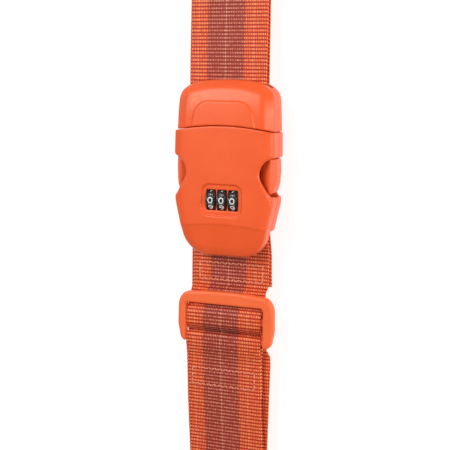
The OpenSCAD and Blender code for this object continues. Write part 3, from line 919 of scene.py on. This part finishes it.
DIGITS = {
    "0": [oval(0.5, 0.5, 0.42, 0.5, 16)],
    "1": [[(0.28, 0.8), (0.52, 1.0), (0.52, 0.0)]],
    "2": [[(0.1, 0.78), (0.25, 0.97), (0.6, 1.0), (0.88, 0.8), (0.8, 0.52), (0.1, 0.0), (0.92, 0.0)]],
    "3": [[(0.12, 0.9), (0.45, 1.0), (0.85, 0.85), (0.8, 0.6), (0.45, 0.52), (0.85, 0.42), (0.88, 0.15),
           (0.5, 0.0), (0.1, 0.1)]],
    "4": [[(0.7, 0.0), (0.7, 1.0), (0.08, 0.3), (0.95, 0.3)]],
    "5": [[(0.88, 1.0), (0.2, 1.0), (0.15, 0.55), (0.6, 0.62), (0.9, 0.35), (0.75, 0.05), (0.4, 0.0),
           (0.1, 0.1)]],
    "6": [[(0.8, 0.95), (0.45, 0.9), (0.15, 0.5), (0.12, 0.2), (0.45, 0.0), (0.85, 0.15), (0.85, 0.42),
           (0.5, 0.55), (0.16, 0.35)]],
    "7": [[(0.08, 1.0), (0.92, 1.0), (0.4, 0.0)]],
    "8": [oval(0.5, 0.76, 0.33, 0.24, 12), oval(0.5, 0.26, 0.4, 0.26, 12)],
    "9": [[(0.2, 0.05), (0.55, 0.1), (0.85, 0.5), (0.88, 0.8), (0.55, 1.0), (0.15, 0.85), (0.15, 0.58),
           (0.5, 0.45), (0.84, 0.65)]],
}
DIGIT_W, DIGIT_H, STROKE, INK = 3.3, 3.4, 0.62, 0.06
PITCH = 36
FLAT_DEPTH = 0.42
HUB_R = 4.6
DIAL_ROWS = [-1.0, -0.98, -0.93, -0.86, -0.84, -0.5, 0, 0.5, 0.84, 0.86, 0.93, 0.98, 1.0]


def wheel(name, i, body, node):
    """A dial: ten flats with a raised rib between them and a turned rim at both sides."""
    steps = 240
    half = DIAL_W / 2
    flat = DIAL_R - FLAT_DEPTH
    points, faces = [], []
    for a in range(steps):
        t = 2 * math.pi * a / steps
        off = abs((math.degrees(t) + PITCH / 2) % PITCH - PITCH / 2)
        rib = 0.38 * max(0.0, 1 - (PITCH / 2 - off) / 4.5) ** 0.5
        for r in DIAL_ROWS:
            if abs(r) > 0.85:
                radius = DIAL_R - 0.02 - (0.5 * max(0, abs(r) - 0.93) / 0.07) ** 2
            else:
                radius = flat + rib
            x = i * DIAL_STEP + r * half
            points.append((x, DIAL_Y + radius * math.sin(t), DIAL_Z + radius * math.cos(t)))
        for s in (1, -1):
            x = i * DIAL_STEP + s * half * 0.96
            points.append((x, DIAL_Y + HUB_R * math.sin(t), DIAL_Z + HUB_R * math.cos(t)))
    m = len(DIAL_ROWS) + 2
    for a in range(steps):
        for j in range(m):
            p, q = a * m + j, a * m + (j + 1) % m
            u, v = ((a + 1) % steps) * m + (j + 1) % m, ((a + 1) % steps) * m + j
            faces.append((p, q, u, v))
    obj = new_object(name, np.array(points) * MM, faces, black)
    face_outwards(obj)
    settle(obj, body, "dial_plastic", node)


def on_wheel(i, u, v, digit, lift):
    """A digit's point (u, v) on dial i; digit 0 faces up, and the digits rise towards +Y."""
    angle = math.radians(PITCH * digit) + (v - 0.5) * DIGIT_H / DIAL_R
    radius = DIAL_R - 0.40 + lift
    x = i * DIAL_STEP + (u - 0.5) * DIGIT_W
    return (x, DIAL_Y + radius * math.sin(angle), DIAL_Z + radius * math.cos(angle))


def stroke(points, faces, i, digit, line):
    """One stroke of a digit: a thin raised strip along its points."""
    p = np.array(line, float)
    scale = np.array((DIGIT_W, DIGIT_H))
    d = np.gradient(p * scale, axis=0)
    if np.allclose(p[0], p[-1]):
        d[0] = d[-1] = (p[1] - p[-2]) * scale
    d /= np.linalg.norm(d, axis=1)[:, None]
    n = np.stack([-d[:, 1], d[:, 0]], 1) / scale * STROKE / 2
    base = len(points)
    for k in range(len(p)):
        for s, lift in ((1, 0.0), (1, INK), (-1, INK), (-1, 0.0)):
            points.append(on_wheel(i, *(p[k] + s * n[k]), digit, lift))
    for k in range(len(p) - 1):
        for j in range(4):
            a, b = base + 4 * k + j, base + 4 * k + (j + 1) % 4
            faces.append((a, b, b + 4, a + 4))
    end = base + 4 * (len(p) - 1)
    faces.append((base, base + 1, base + 2, base + 3))
    faces.append((end + 3, end + 2, end + 1, end))


def digits(name, i, body):
    """The ten digits on dial i."""
    points, faces = [], []
    for digit in range(10):
        for line in DIGITS[str(digit)]:
            stroke(points, faces, i, digit, line)
    obj = new_object(name, np.array(points) * MM, faces, white_ink, smooth=False)
    face_outwards(obj)
    settle(obj, body, "dial_plastic")


for place, side in ((-1, "left"), (0, "middle"), (1, "right")):
    wheel(f"dial_{side}", place, f"{side}_dial", f"dial_wheel_{side}")
    digits(f"dial_digits_{side}", place, f"{side}_dial")


# ---------------------------------------------------------------- the other CAD pieces keep their shape
for node_name, node_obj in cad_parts.items():
    if node_obj.hide_render:
        continue
    looks = orange if node_name == "prong_base" else steel_material
    node_obj.data.materials.clear()
    node_obj.data.materials.append(looks)


# ---------------------------------------------------------------- floor and light
def floor():
    """A pale floor that glows a little, so that it stays plain."""
    half = 3.0
    mesh = bpy.data.meshes.new("floor")
    corners = [(-half, -half, 0), (half, -half, 0), (half, half, 0), (-half, half, 0)]
    mesh.from_pydata(corners, [], [(0, 1, 2, 3)])
    m = Nodes("floor")
    m.set(Base_Color=(0.4, 0.4, 0.4, 1), Roughness=0.9, Emission_Color=(1, 1, 1, 1), Emission_Strength=0.75)
    mesh.materials.append(m.material)
    obj = bpy.data.objects.new("floor", mesh)
    bpy.context.scene.collection.objects.link(obj)
    obj.location.z = -0.0002


def area_light(name, place, size, power):
    """A softbox that faces the buckle: place and size in metres, power in watts."""
    data = bpy.data.lights.new(name, "AREA")
    data.shape, data.size, data.size_y = "RECTANGLE", *size
    data.energy = power
    obj = bpy.data.objects.new(name, data)
    bpy.context.scene.collection.objects.link(obj)
    obj.location = place
    obj.rotation_mode = "QUATERNION"
    obj.rotation_quaternion = (Vector((0, 0.02, 0.01)) - Vector(place)).to_track_quat("-Z", "Y")


floor()
area_light("key", place=(-0.45, 0.65, 0.9), size=(0.5, 0.5), power=6.2)
area_light("gloss", place=(-0.52, 0.30, 0.95), size=(0.35, 0.35), power=2.4)
area_light("side", place=(0.95, 0.15, 0.55), size=(0.16, 1.0), power=8)
world = bpy.data.worlds.new("studio")
world.use_nodes = True
world.node_tree.nodes["Background"].inputs[0].default_value = (1, 1, 1, 1)
world.node_tree.nodes["Background"].inputs[1].default_value = 0.3
bpy.context.scene.world = world
bpy.context.scene.view_settings.view_transform = "Standard"
